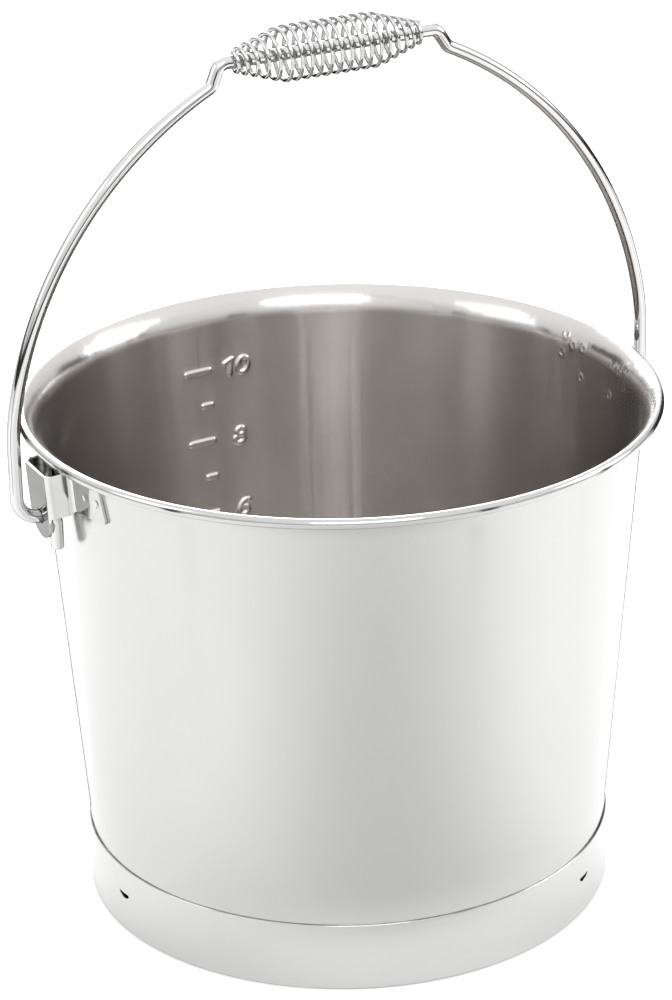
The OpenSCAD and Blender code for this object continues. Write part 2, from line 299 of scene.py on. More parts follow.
def prism(name, outline_a, outline_b):
    """Flat-ended solid between two outlines with as many points each."""
    n = len(outline_a)
    faces = [[i, (i + 1) % n, n + (i + 1) % n, n + i] for i in range(n)]
    faces += [list(range(n))[::-1], [n + i for i in range(n)]]
    return finish_object(name, outline_a + outline_b, faces, smooth=False)


def cut(obj, cutter):
    mod = obj.modifiers.new("cut", "BOOLEAN")
    mod.operation = "DIFFERENCE"
    mod.solver = "EXACT"
    mod.object = cutter


def apply_modifiers(obj):
    """Replaces an object's mesh by its mesh with all its modifiers applied."""
    graph = bpy.context.evaluated_depsgraph_get()
    made = bpy.data.meshes.new_from_object(obj.evaluated_get(graph))
    obj.modifiers.clear()
    obj.data = made


# ---------------------------------------------------------------------------------------------
# The litre scale, as a height field pressed into the wall from outside
# ---------------------------------------------------------------------------------------------
def wall_r(z):
    """Outer radius of the wall."""
    return WALL_FOOT_R + WALL_SLOPE * (z - RING_H)


def level_z(litres):
    """Height of the level of so many litres: the inside is a cone."""
    foot = wall_r(BOTTOM_Z) - SHEET / math.cos(WALL_LEAN)
    level = (foot ** 3 + 3 * WALL_SLOPE * litres * LITRE / math.pi) ** (1 / 3)
    return BOTTOM_Z + (level - foot) / WALL_SLOPE


def oval(cx, cy, rx, ry, start=0, end=360, steps=28):
    a = np.radians(np.linspace(start, end, steps + 1))
    return [(cx + rx * math.cos(t), cy + ry * math.sin(t)) for t in a]


# Strokes of each digit, centred on 0, in millimetres, before they lean
DIGITS = {
    "0": [oval(0, 0, 2.75, 3.85)],
    "1": [[(-2.9, 1.9), (0.7, 3.85), (0.7, -3.85)]],
    "2": [oval(0, 1.75, 2.3, 2.1, 165, -40, 18) + [(-2.4, -3.85), (2.5, -3.85)]],
    "4": [[(1.2, -3.85), (1.2, 3.85), (-2.6, -1.4), (2.7, -1.4)]],
    "6": [oval(0, -1.7, 2.4, 2.15), oval(1.1, -1.7, 3.5, 5.55, 180, 76, 12)],
    "8": [oval(0, 2.1, 1.9, 1.75), oval(0, -1.75, 2.4, 2.1)],
}


def scale_strokes():
    """Every stroke of the scale as a line of (u, height) with the half widths of its flat top
    and of its foot. u runs along the wall to the right as seen from inside, from the inner ends
    of the dashes."""
    strokes = []
    for litres in range(1, SCALE_LITRES + 1):
        z = level_z(litres)
        even = litres % 2 == 0
        length = LONG_DASH if even else SHORT_DASH
        strokes.append(([(-length + DASH_EDGE, z), (-DASH_EDGE, z)], DASH_FLAT, DASH_EDGE))
        if not even:
            continue
        number = str(litres)
        centre = math.radians(DASH_AZ - DIGIT_AZ) * wall_r(z)
        for i, digit in enumerate(number):
            u = centre + (i - (len(number) - 1) / 2) * DIGIT_PITCH
            for part in DIGITS[digit]:
                leaning = [(u + x + DIGIT_SLANT * y, z + y) for x, y in part]
                strokes.append((leaning, DIGIT_FLAT, DIGIT_EDGE))
    return strokes


def press_height(azimuths, heights):
    """How far the wall is pushed inwards at each height (rows) and azimuth (columns)."""
    az, z = np.meshgrid(azimuths, heights)
    u = np.radians(DASH_AZ - az) * wall_r(z)
    depth = np.zeros(u.shape)
    halo = np.zeros(u.shape)
    for stroke, flat, edge in scale_strokes():
        pts = np.array(stroke)
        lo, hi = pts.min(axis=0) - 3 * HALO_R, pts.max(axis=0) + 3 * HALO_R
        near = (u > lo[0]) & (u < hi[0]) & (z > lo[1]) & (z < hi[1])
        if not near.any():
            continue
        p = np.stack([u[near], z[near]], axis=1)
        d = np.full(len(p), np.inf)
        for a, b in zip(pts[:-1], pts[1:]):
            ab = b - a
            t = np.clip(((p - a) @ ab) / max(ab @ ab, 1e-9), 0, 1)
            d = np.minimum(d, np.linalg.norm(p - a - t[:, None] * ab, axis=1))
        depth[near] = np.maximum(depth[near], 1 - smoothstep(flat, edge, d))
        halo[near] = np.maximum(halo[near], np.exp(-(d / HALO_R) ** 2))
    return PRESS_DEPTH * depth + HALO_DEPTH * halo


# ---------------------------------------------------------------------------------------------
# Pail body
# ---------------------------------------------------------------------------------------------
def wall_azimuths():
    """Columns around the wall, close together where the scale and the welds are pressed."""
    fine = math.degrees(FINE / wall_r(120))
    bands = [(DIGIT_AZ - 6, DASH_AZ + 9, fine)]
    for ear in (0, 180):
        bands.append((ear + WELD_BAND[0], ear + WELD_BAND[1], WELD_COARSER * fine))
        bands.append((180 + ear - WELD_BAND[1], 180 + ear - WELD_BAND[0], WELD_COARSER * fine))
    columns = np.arange(0, 360, WALL_COLUMN_TURN)
    for low, high, _ in bands:
        columns = columns[(columns < low - 1) | (columns > high + 1)]
    return np.sort(np.concatenate([columns] + [np.arange(*band) for band in bands]))


def wall_heights(low, high):
    """Rows up the straight wall, close together at the marks of the scale and at the welds."""
    rows = list(np.linspace(low, high, WALL_ROWS))
    for litres in range(1, SCALE_LITRES + 1):
        z = level_z(litres)
        half = NUMBER_HALF if litres % 2 == 0 else DASH_HALF
        rows = [r for r in rows if abs(r - z) > half + FINE]
        rows += list(np.arange(z - half, z + half + 0.01, FINE))
    rows = [r for r in rows if r < WELD_LOW_Z]
    return np.array(sorted(rows) + list(np.arange(WELD_LOW_Z, high, WELD_COARSER * FINE)))


def weld_rise(azimuths, heights):
    """Height of the welds' rings on the inside, the same at both ears and on both wings."""
    folded = np.abs((azimuths + 90) % 180 - 90)[None, :]
    z = heights[:, None]
    rise = np.zeros((len(heights), len(azimuths)))
    for mark_azimuth, mark_z in WELD_MARKS:
        across = np.radians(folded - mark_azimuth) * wall_r(mark_z)
        off = np.abs(np.hypot(across, z - mark_z) - WELD_MARK_R)
        rise += WELD_MARK_RISE * smoothstep(0, WELD_MARK_EDGE, WELD_MARK_EDGE - off)
    return rise


def wall_midline():
    """Middle of the wall's sheet from its hidden foot up to the end of the rim's curl, and how
    many of its points are below the straight part."""
    half = SHEET / 2 / math.cos(WALL_LEAN)
    bead_x, bead_z = RIM_R - BEAD_R, PAIL_H - BEAD_R
    curl_r = BEAD_R - SHEET / 2
    end_x = bead_x - curl_r * math.cos(FLARE_LEAN)
    end_z = bead_z + curl_r * math.sin(FLARE_LEAN)
    flare_cx = end_x + FLARE_R * math.cos(FLARE_LEAN)
    flare_cz = end_z - FLARE_R * math.sin(FLARE_LEAN)
    flare_z = flare_cz + FLARE_R * math.sin(WALL_LEAN)
    foot = line(
        (TUCK_R + WALL_SLOPE * (WALL_LOW_Z - RING_H) - half, WALL_LOW_Z),
        (TUCK_R - half, STEP_LOW - 0.2), 9)
    step = line((TUCK_R - half + 0.15, STEP_LOW), (wall_r(STEP_HIGH) - half, STEP_HIGH), 0.5)
    flare_x = flare_cx - FLARE_R * math.cos(WALL_LEAN)
    z = np.append(wall_heights(STEP_HIGH + 0.6, flare_z - 2), flare_z - 0.7)
    x = np.interp(z, (STEP_HIGH, flare_z), (wall_r(STEP_HIGH) - half, flare_x))
    straight = np.stack([x, z], axis=1)
    flare = arc(flare_cx, flare_cz, FLARE_R, math.pi - WALL_LEAN, math.pi - FLARE_LEAN,
                FLARE_STEPS)
    curl = arc(bead_x, bead_z, curl_r, math.pi - FLARE_LEAN,
               math.pi - FLARE_LEAN - CURL_TURN, CURL_STEPS)
    return join_points(foot, step, straight, flare, curl), len(foot) + len(step)


def make_wall():
    """Rolled wall with its flare, curl and the pressed scale. Slot 0 is the outside and the
    curl, slot 1 the inside, and slot 2 the stepped-in foot, which shows in the groove and is given
    a near-black painted shade for the shadow in the gap above the foot ring."""
    mid, foot_count = wall_midline()
    section, side = sheet_section(mid, SHEET)
    azimuths = wall_azimuths()
    pressed = section[:, 1]
    depth = press_height(azimuths, pressed)
    depth[(pressed < BOTTOM_Z) | (pressed > PAIL_H - 20), :] = 0
    depth += weld_rise(azimuths, pressed) * (pressed < PAIL_H - 3)[:, None]
    points = push_inwards(lathe_points(section, azimuths), depth)
    rows, cols = points.shape[:2]
    faces = grid_faces(rows, cols, True, True)
    wall = finish_object("wall_sheet", points.reshape(-1, 3), faces)
    row = np.arange(len(faces)) // cols
    slots = (row < side - CURL_STEPS).astype(int)
    # Slot 2 takes the near-black painted shade that stands in for the shadow in the groove
    slots[row > rows - foot_count - EDGE_STEPS] = 2
    wall.data.polygons.foreach_set("material_index", slots)
    return wall


def make_foot_ring():
    """Skirt with a folded hem and lanced drain slots."""
    half = SHEET / 2
    fold_r = half + HEM_GAP
    outer = line((RING_TOP_R - half, RING_H - 0.3), (RING_FOOT_R - half, SHEET), 0.7)
    fold = arc(RING_FOOT_R - half - fold_r, fold_r + half, fold_r, 0, -math.pi, 8)
    inner = line((RING_FOOT_R - half - 2 * fold_r, fold_r + SHEET),
                 (RING_FOOT_R - half - 2 * fold_r, HEM_H), 1.0)
    section, _ = sheet_section(join_points(outer, fold, inner), SHEET)
    slots = [SLOT_AZ + 360 * i / SLOT_COUNT for i in range(SLOT_COUNT)]
    azimuths = []
    for a in slots:
        low, high = a - SLOT_NEAR, a + SLOT_NEAR
        azimuths.append(np.arange(low, high, SLOT_FINE))
        azimuths.append(np.linspace(high, a + 360 / SLOT_COUNT - SLOT_NEAR, SLOT_FAR_COLUMNS)[:-1])
    azimuths = np.concatenate(azimuths)
    # The sheet below each slot is pushed in, so that the slot opens like a mouth
    az, z = np.meshgrid(azimuths, section[:, 1])
    push = np.zeros(az.shape)
    for a in slots:
        u = np.radians((az - a + 180) % 360 - 180) * RING_TOP_R
        across = np.clip(1 - (2 * u / SLOT_L) ** 2, 0, 1)
        below = (z > SLOT_PUSH_LOW_Z) & (z <= SLOT_Z)
        push += SLOT_PUSH * across * np.exp(-((z - SLOT_Z) / SLOT_PUSH_FADE) ** 2) * below
    points = push_inwards(lathe_points(section, azimuths), push)
    faces = grid_faces(*points.shape[:2], True, True)
    ring = finish_object("foot_ring_skirt", points.reshape(-1, 3), faces)
    cutters = [slot_cutter(a) for a in slots]
    for cutter in cutters:
        cut(ring, cutter)
    apply_modifiers(ring)
    for cutter in cutters:
        bpy.data.objects.remove(cutter)
    return ring


def slot_cutter(azimuth):
    """Flat-topped half-moon prism that opens one drain slot."""
    half = SLOT_L / 2
    top, low = 0.35 * SLOT_H, -0.65 * SLOT_H
    turns = np.linspace(0, math.pi, SLOT_STEPS)
    outline = [(half * math.cos(t), top - 0.25 * math.sin(t) ** 2) for t in turns]
    outline += [(-half * math.cos(t), top + (low - top) * math.sin(t)) for t in turns[1:-1]]
    inner, outer = [[(x, u, SLOT_Z + v) for u, v in outline]
                    for x in (RING_TOP_R - 4, RING_TOP_R + 3)]
    cutter = prism("slot_cutter", inner, outer)
    cutter.rotation_euler = (0, 0, math.radians(azimuth))
    return cutter


def make_bottom():
    """Bottom pan: a flange turned down inside the wall, and a shallow pressed panel."""
    half = SHEET / 2
    edge_r = TUCK_R + WALL_SLOPE * (WALL_LOW_Z - RING_H) - SHEET / math.cos(WALL_LEAN) - WELD_GAP
    mid_r = edge_r - half
    bend = BOTTOM_BEND_R
    mid_z = BOTTOM_Z - half
    press_r = (PANEL_R + PANEL_EDGE_HALF, PANEL_R - PANEL_EDGE_HALF)
    flange = line((mid_r, WALL_LOW_Z), (mid_r, mid_z - bend), 1.5)
    corner = arc(mid_r - bend, mid_z - bend, bend, 0, math.pi / 2, 8)
    rim = line((mid_r - bend, mid_z), (press_r[0], mid_z), 2)
    r = np.linspace(*press_r, 25)
    half_edge = PANEL_EDGE_HALF / 2
    press = np.stack(
        [r, mid_z - PANEL_DROP * smoothstep(half_edge, -half_edge, r - PANEL_R)], axis=1)
    # The panel crowns up a little towards its middle, as pressed sheet does
    r = np.linspace(press_r[1], CENTRE_R, 40)
    crown = PANEL_CROWN * (1 - (r / press_r[1]) ** 2)
    panel = np.stack([r, mid_z - PANEL_DROP + crown], axis=1)
    mid = join_points(flange, corner, rim, press, panel)
    n = normals_2d(mid)
    top, under = mid - n * half, mid + n * half
    top[-1][0] = under[-1][0] = CENTRE_R
    profile = np.concatenate([top[::-1], under])
    points = lathe_points(profile, np.linspace(0, 360, PAN_COLUMNS + 1)[:-1])
    rows, cols = points.shape[:2]
    faces = grid_faces(rows, cols, False, True)
    faces += [list(range(cols))[::-1], [(rows - 1) * cols + i for i in range(cols)]]
    return finish_object("bottom_pan", points.reshape(-1, 3), faces)


# ---------------------------------------------------------------------------------------------
# Ears
# ---------------------------------------------------------------------------------------------
def ear_halfline():
    """Middle of the ear's sheet from the face's centre to the root of a wing, as points of
    (depth from the face, distance from the middle) in the plane square to the leaning wall."""
    half = EAR_SHEET / 2
    side = EAR_W / 2 - half
    bend = EAR_BEND_R - half
    root = EAR_ROOT_R
    depth = (EAR_FACE_X - wall_r(HINGE_Z)) * math.cos(WALL_LEAN)
    skin = -depth + WELD_GAP + half
    face = line((-half, 0), (-half, side - bend), 0.5)
    corner = arc(-half - bend, side - bend, bend, 0, math.pi / 2, 10)
    sag = (side + root) ** 2 / 2 / wall_r(HINGE_Z)
    flat = line((-half - bend, side), (skin - sag + root, side), 0.5)
    fillet = arc(skin - sag + root, side + root, root,
                 -math.pi / 2, -math.pi + EAR_ROOT_STOP, 10)
    return join_points(face, corner, flat, fillet)


def ear_bounds(y, along, wing_share):
    """Lowest and highest point of the ear's sheet, above the hinge, at a distance y from the
    middle. wing_share goes from 0 on the box to 1 on a wing."""
    box_low = EAR_LOW_Z - HINGE_Z
    tongue = -np.sqrt(np.clip(TONGUE_R ** 2 - y ** 2, 0, None))
    t = np.clip((y - TONGUE_R) / NECK_R, 0, 1)
    low = np.where(y < TONGUE_R, tongue, box_low * (1 - np.sqrt(np.clip(1 - t ** 2, 0, 1))))
    low = np.where(along > TONGUE_R + NECK_R, box_low, low)
    low = low + (WING_LOW_Z - EAR_LOW_Z) * wing_share
    high = EAR_TOP_Z - HINGE_Z + (WING_TOP_Z - EAR_TOP_Z) * wing_share
    return low, high


def make_ear(name, side):
    """Bracket ear bent from one sheet: its box, tongue and two wings. side is +1 or -1 in X."""
    half_line = ear_halfline()
    v = np.linspace(0, 1, EAR_ROWS)
    along = np.concatenate([[0], np.cumsum(np.linalg.norm(np.diff(half_line, axis=0), axis=1))])
    share = smoothstep(along[-1] - WING_BLEND, along[-1], along)
    low, high = ear_bounds(half_line[:, 1], along, share)
    z = low[None, :] + (high - low)[None, :] * v[:, None]
    x = np.repeat(half_line[:, 0][None, :], EAR_ROWS, axis=0)
    y = np.repeat(half_line[:, 1][None, :], EAR_ROWS, axis=0)
    # Wing columns spread from the root to a slanted end with rounded corners
    q = np.linspace(0, 1, WING_COLUMNS + 1)[1:]
    wz = z[:, -1]
    rise = (wz - wz[0]) / (wz[-1] - wz[0])
    into_corner = np.clip(WING_CORNER_R - np.minimum(wz - wz[0], wz[-1] - wz), 0, None)
    rounding = WING_CORNER_R - np.sqrt(np.clip(WING_CORNER_R ** 2 - into_corner ** 2, 0, None))
    y_end = WING_SPAN / 2 - WING_TAPER * rise - rounding
    wy = y[:, -1:] + (y_end[:, None] - y[:, -1:]) * q[None, :]
    wing_z = np.repeat(wz[:, None], WING_COLUMNS, axis=1)
    x0 = x[:, -1:] + wing_sag(y[:, -1:], wing_z[:, :1])
    wx = x0 - wing_sag(wy, wing_z)
    x, y, z = np.hstack([x, wx]), np.hstack([y, wy]), np.hstack([z, wing_z])
    x = x - weld_dimples(y, z)
    points = np.stack([x, y, z], axis=-1)
    mirrored = points[:, :0:-1].copy()
    mirrored[..., 1] *= -1
    points = np.concatenate([mirrored, points], axis=1)
    faces = grid_faces(EAR_ROWS, points.shape[1], False, False)
    ear = finish_object(name, points.reshape(-1, 3), faces)
    ear.data.transform(Matrix.Translation(Vector((EAR_FACE_X, 0, HINGE_Z)) * MM)
                       @ Matrix.Rotation(WALL_LEAN, 4, "Y"))
    solid = ear.modifiers.new("sheet", "SOLIDIFY")
    solid.thickness = EAR_SHEET * MM
    solid.offset = 0
    solid.use_even_offset = True
    hole = hole_cutter()
    cut(ear, hole)
    bevel = ear.modifiers.new("edge", "BEVEL")
    bevel.width = EAR_EDGE * MM
    bevel.segments = 2
    bevel.limit_method = "ANGLE"
    bevel.angle_limit = math.radians(50)
    apply_modifiers(ear)
    bpy.data.objects.remove(hole)
    if side < 0:
        ear.data.transform(Matrix.Scale(-1, 4, (1, 0, 0)))
        ear.data.flip_normals()
    return ear


def wing_sag(y, z):
    """How far the wall falls away from the ear's middle plane at a distance y, with the small
    outward turn of the flare taken off near the top."""
    flare = np.clip(z - (FLARE_START_Z - HINGE_Z), 0, None) ** 2 / 2 / FLARE_R
    return y ** 2 / 2 / wall_r(HINGE_Z + z) - flare


def weld_dimples(y, z):
    """Depth of the spot welds' dimples on the wings."""
    depth = np.zeros(y.shape)
    for spot_y, spot_z in SPOT_WELDS:
        d = np.hypot(y - spot_y, z + HINGE_Z - spot_z)
        depth += SPOT_DEPTH * (1 - smoothstep(SPOT_FLAT, SPOT_EDGE, d))
    return depth


def hole_cutter():
    """Round bar along the hinge line, which opens the bail's hole."""
    a = np.linspace(0, 2 * math.pi, HOLE_SIDES + 1)[:-1]
    ring = np.stack([HOLE_R * np.cos(a), HINGE_Z + HOLE_R * np.sin(a)], axis=1)
    inner, outer = [[(x, y, z) for y, z in ring] for x in (EAR_FACE_X - 6, EAR_FACE_X + 6)]
    return prism("hole_cutter", inner, outer)


# ---------------------------------------------------------------------------------------------
# Bail and grip
# ---------------------------------------------------------------------------------------------
def sweep(name, path, radii, sides, twist_axis):
    """Tube along a line of 3-D points, with a radius for each point and flat ends. The rings
    start from the direction nearest to twist_axis."""
    path = np.asarray(path, float)
    t = np.gradient(path, axis=0)
    t /= np.linalg.norm(t, axis=1)[:, None]
    ref = np.asarray(twist_axis, float)
    u = ref - t[0] * (ref @ t[0])
    u /= np.linalg.norm(u)
    a = np.linspace(0, 2 * math.pi, sides + 1)[:-1]
    rings = []
    for p, d, r in zip(path, t, radii):
        u = u - d * (u @ d)
        u /= np.linalg.norm(u)
        w = np.cross(d, u)
        rings.append(p + r * (np.cos(a)[:, None] * u + np.sin(a)[:, None] * w))
    points = np.array(rings)
    n = len(path)
    faces = grid_faces(n, sides, False, True)
    faces += [list(range(sides))[::-1], [(n - 1) * sides + i for i in range(sides)]]
    return finish_object(name, points.reshape(-1, 3), faces)


def with_round_ends(path, radius, edge):
    """Adds points and radii that round off both cut ends of a rod."""
    path = np.asarray(path, float)
    head = (path[0] - path[1]) / np.linalg.norm(path[0] - path[1])
    tail = (path[-1] - path[-2]) / np.linalg.norm(path[-1] - path[-2])
    a = np.linspace(0, math.pi / 2, 5)[1:]
    out = edge * np.sin(a)
    shrink = radius - edge * (1 - np.cos(a))
    first = [path[0] + head * (d - edge) for d in out[::-1]]
    last = [path[-1] + tail * (d - edge) for d in out]
    body = path[1:-1]
    radii = np.concatenate([shrink[::-1], [radius], np.full(len(body), radius), [radius], shrink])
    points = np.concatenate([first, [path[0] - head * edge], body, [path[-1] - tail * edge], last])
    return points, radii


def turtle(start, heading, moves, step):
    """Points of a line of straights (0, length) and bends (radius, turn in degrees). heading is
    in degrees, anticlockwise from +X in the XZ plane, and a positive turn goes anticlockwise."""
    pts = [np.array(start, float)]
    h = math.radians(heading)
    for radius, amount in moves:
        if radius == 0:
            n = max(1, int(amount / step))
            d = np.array([math.cos(h), math.sin(h)])
            base = pts[-1]
            pts += [base + d * amount * (i + 1) / n for i in range(n)]
            continue
        turn = math.radians(amount)
        n = max(6, int(abs(turn) * radius / step), int(abs(amount) / 6))
        sign = 1 if turn > 0 else -1
        centre = pts[-1] + sign * radius * np.array([-math.sin(h), math.cos(h)])
        base = h - sign * math.pi / 2
        for i in range(1, n + 1):
            a = base + turn * i / n
            pts.append(centre + radius * np.array([math.cos(a), math.sin(a)]))
        h += turn
    return np.array(pts)


def bail_half(joggle_x, joggle_lean):
    """Middle of the rod on one side, as (distance, height) from the grip to the tail."""
    turn = math.radians(SIDE_TURN)
    lean = math.radians(joggle_lean)
    arc_cx = LEG_X - SIDE_R + (SIDE_R - TOP_R) * math.cos(turn) - LINK_L * math.sin(turn)
    arc_cz = LEG_TOP + (SIDE_R - TOP_R) * math.sin(turn) + LINK_L * math.cos(turn)
    slope = math.asin((joggle_x - arc_cx) / TOP_R)
    joggle_z = arc_cz + TOP_R * math.cos(slope) + LINK_L * math.sin(slope)
    bends = JOGGLE_R * (1 + math.cos(slope) - 2 * math.cos(lean))
    straight = (GRIP_Z - HINGE_Z - joggle_z - bends) / math.sin(lean)
    reach = JOGGLE_R * (2 * math.sin(lean) - math.sin(slope)) + straight * math.cos(lean)
    grip_end = joggle_x - LINK_L * math.cos(slope) - reach
    slope = math.degrees(slope)
    pin = LEG_X - EAR_TURN_R - TAIL_TURN_R - TAIL_X
    moves = [
        (JOGGLE_R, -joggle_lean),
        (0, straight),
        (JOGGLE_R, joggle_lean - slope),
        (0, LINK_L),
        (TOP_R, slope + SIDE_TURN - 90),
        (0, LINK_L),
        (SIDE_R, -SIDE_TURN),
        (0, LEG_TOP - EAR_TURN_R),
        (EAR_TURN_R, -90),
        (0, pin),
        (TAIL_TURN_R, 90),
        (0, TAIL_DROP - TAIL_TURN_R),
    ]
    return turtle((grip_end, GRIP_Z), 0, moves, ROD_STEP)


def make_bail():
    """Rod of the bail, from one tail over the grip to the other."""
    left, right = [bail_half(x, lean) * (side, 1) for side, x, lean in JOGGLES]
    flat = join_points(left[::-1], line(left[0], right[0], ROD_STEP), right)
    path = np.stack([flat[:, 0], np.zeros(len(flat)), flat[:, 1]], axis=1)
    path, radii = with_round_ends(path, ROD_R, ROD_EDGE)
    return sweep("bail_rod", path, radii, ROD_SIDES, (0, 1, 0))


def make_coil():
    """Grip spring: one coil that tapers and closes up towards both ends."""
    t = np.linspace(0, 1, COIL_STEPS_PER_TURN * COIL_TURNS + 1)
    v = 2 * t - 1
    x = COIL_L / 2 * ((1 + COIL_CLOSE) * v - COIL_CLOSE * v ** COIL_CLOSE_POWER)
    taper = np.clip(np.abs(x) - COIL_MID_HALF, 0, None) / (COIL_L / 2 - COIL_MID_HALF)
    r = COIL_R - COIL_WIRE_R - (COIL_R - COIL_END_R) * taper
    a = 2 * math.pi * COIL_TURNS * t
    path = np.stack([COIL_X + x, -r * np.sin(a), GRIP_Z + r * np.cos(a)], axis=1)
    path, radii = with_round_ends(path, COIL_WIRE_R, COIL_WIRE_EDGE)
    return sweep("grip_coil", path, radii, COIL_SIDES, (1, 0, 0))


# ---------------------------------------------------------------------------------------------
# Materials
# ---------------------------------------------------------------------------------------------
class Nodes:
    """Short way to add and link shader nodes."""

    def __init__(self, name):
        self.material = bpy.data.materials.new(name)
        self.material.use_nodes = True
        self.tree = self.material.node_tree
        self.tree.nodes.clear()
        out = self.add("ShaderNodeOutputMaterial")
        self.bsdf = self.add("ShaderNodeBsdfPrincipled")
        self.link(self.bsdf.outputs[0], out.inputs[0])

    def add(self, kind, **settings):
        node = self.tree.nodes.new(kind)
        for key, value in settings.items():
            setattr(node, key, value)
        return node

    def link(self, a, b):
        self.tree.links.new(a, b)

    def set(self, node, **values):
        for key, value in values.items():
            node.inputs[key.replace("_", " ")].default_value = value

    def noise(self, scale, stretch=(1, 1, 1), detail=4.0, rough=0.55):
        """Noise in object coordinates, in units of a metre, stretched by a scale per axis."""
        where = self.add("ShaderNodeTexCoord").outputs["Object"]
        return self.noise_at(where, scale, stretch, detail, rough)

    def polar(self):
        """Coordinates that run around the pail: azimuth in radians, 0, and height."""
        where = self.add("ShaderNodeTexCoord")
        split = self.add("ShaderNodeSeparateXYZ")
        self.link(where.outputs["Object"], split.inputs[0])
        angle = self.add("ShaderNodeMath", operation="ARCTAN2")
        self.link(split.outputs["Y"], angle.inputs[0])
        self.link(split.outputs["X"], angle.inputs[1])
        join = self.add("ShaderNodeCombineXYZ")
        self.link(angle.outputs[0], join.inputs["X"])
        self.link(split.outputs["Z"], join.inputs["Z"])
        return join.outputs[0]

    def noise_at(self, vector, scale, stretch, detail, rough):
        place = self.add("ShaderNodeMapping")
        self.set(place, Scale=stretch)
        self.link(vector, place.inputs["Vector"])
        node = self.add("ShaderNodeTexNoise")
        self.set(node, Scale=scale, Detail=detail, Roughness=rough)
        self.link(place.outputs[0], node.inputs["Vector"])
        return node.outputs["Fac"]

    def remap(self, value, low, high, from_low=0.3, from_high=0.7, kind="LINEAR"):
        node = self.add("ShaderNodeMapRange", interpolation_type=kind)
        self.link(value, node.inputs["Value"])
        self.set(node, From_Min=from_low, From_Max=from_high, To_Min=low, To_Max=high)
        return node.outputs[0]

    def mix_colour(self, factor, a, b):
        node = self.add("ShaderNodeMix", data_type="RGBA")
        self.link(factor, node.inputs["Factor"])
        # The node has an A and a B socket of each kind, and these are the colours
        colours = [s for s in node.inputs if s.type == "RGBA"]
        colours[0].default_value = (*a, 1)
        colours[1].default_value = (*b, 1)
        return next(s for s in node.outputs if s.type == "RGBA")

    def bump(self, height, strength, distance, below=None):
        node = self.add("ShaderNodeBump")
        self.set(node, Strength=strength, Distance=distance)
        self.link(height, node.inputs["Height"])
        if below is not None:
            self.link(below, node.inputs["Normal"])
        return node.outputs[0]


# Noise scales in (azimuth, unused, height), per radian and per metre
LONG_LINES = (6, 1, 2600)
SHORT_LINES = (60, 1, 3800)
UPRIGHT_WAVES = (7, 1, 1.5)


def sheet_steel(name, light, dark, roughness, spread, anisotropic, lines, streaks=0.0):
    """Stainless sheet with fine lines that run around the pail, soft clouding and faint dents.
    streaks is the height of the upright waves that the rolls leave, in metres."""
    n = Nodes(name)
    polar = n.polar()
    cloud = n.noise(9, stretch=(1, 1, 0.7), detail=3)
    grain = n.noise_at(polar, 1.0, LONG_LINES, detail=3, rough=0.7)
    grain_short = n.noise_at(polar, 1.0, SHORT_LINES, detail=2, rough=0.6)
    wave = n.noise(14, stretch=(1, 1, 0.35), detail=2, rough=0.4)
    blotch = n.add("ShaderNodeMath", operation="MULTIPLY_ADD")
    n.link(grain, blotch.inputs[0])
    blotch.inputs[1].default_value = 0.35
    n.link(cloud, blotch.inputs[2])
    n.link(n.mix_colour(n.remap(blotch.outputs[0], 0, 1, 0.45, 0.9), dark, light),
           n.bsdf.inputs["Base Color"])
    n.set(n.bsdf, Metallic=1.0, Anisotropic=anisotropic, Anisotropic_Rotation=0.25)
    n.link(n.remap(cloud, roughness - spread, roughness + spread), n.bsdf.inputs["Roughness"])
    below = n.bump(wave, 0.12, 0.0015)
    if streaks:
        upright = n.noise_at(polar, 1.0, UPRIGHT_WAVES, detail=3, rough=0.5)
        below = n.bump(upright, 1.0, streaks, below)
    fine = n.bump(grain, lines, 0.00006, below)
    n.link(n.bump(grain_short, lines, 0.00004, fine), n.bsdf.inputs["Normal"])
    return n.material


def rod_steel(name, light, dark, roughness, spread):
    """Drawn and polished stainless rod or pressed bracket, with faint marks and handling wear."""
    n = Nodes(name)
    cloud = n.noise(60)
    drawn = n.noise(900, detail=3, rough=0.6)
    n.link(n.mix_colour(n.remap(cloud, 0, 1), dark, light), n.bsdf.inputs["Base Color"])
    n.set(n.bsdf, Metallic=1.0, Specular_Tint=(0.15, 0.15, 0.15, 1))
    n.link(n.remap(drawn, roughness - spread, roughness + spread), n.bsdf.inputs["Roughness"])
    low = n.bump(cloud, 0.08, 0.0004)
    n.link(n.bump(drawn, 0.06, 0.00006, low), n.bsdf.inputs["Normal"])
    return n.material


def floor_paint():
    n = Nodes("studio_paper")
    fleck = n.noise(3, detail=2)
    n.link(n.mix_colour(n.remap(fleck, 0, 1), (0.93, 0.93, 0.93), (0.95, 0.95, 0.95)),
           n.bsdf.inputs["Base Color"])
    n.set(n.bsdf, Roughness=0.9)
    return n.material


def paint(obj, *materials):
    """Gives an object its materials. Clearing an empty list would reset the faces' slots."""
    if len(obj.data.materials):
        obj.data.materials.clear()
    for material in materials:
        obj.data.materials.append(material)


# ---------------------------------------------------------------------------------------------
# Studio
# ---------------------------------------------------------------------------------------------
# Camera: where it stands, in metres, how far it turns from +Y, looks down and rolls
CAMERA_AT = (-0.6727, -1.3288, 0.8281)
CAMERA_HEADING = -26.745
CAMERA_DOWN = 23.312
CAMERA_ROLL = -1.129
CAMERA_LENS = 126.9
SENSOR = 36.0
# Brightness of the room along its far skirting, above that, and overhead
ROOM_DARK, ROOM_LOW, ROOM_HIGH = 0.04, 0.88, 1.2
# Name, place and target in metres, size, and power of each light
LIGHTS = (
    ("back", (0.6, 2.0, 1.3), (0, 0, 0.1), (1.6, 1.2), 36),
    ("right", (1.9, -0.5, 1.2), (0, 0, 0.1), (1.0, 1.0), 12),
    ("front", (-0.6, -1.9, 1.9), (0, -0.2, 0), (1.4, 0.8), 14),
    ("left", (-1.9, 0.3, 1.4), (0, 0, 0.1), (1.0, 1.2), 5),
)
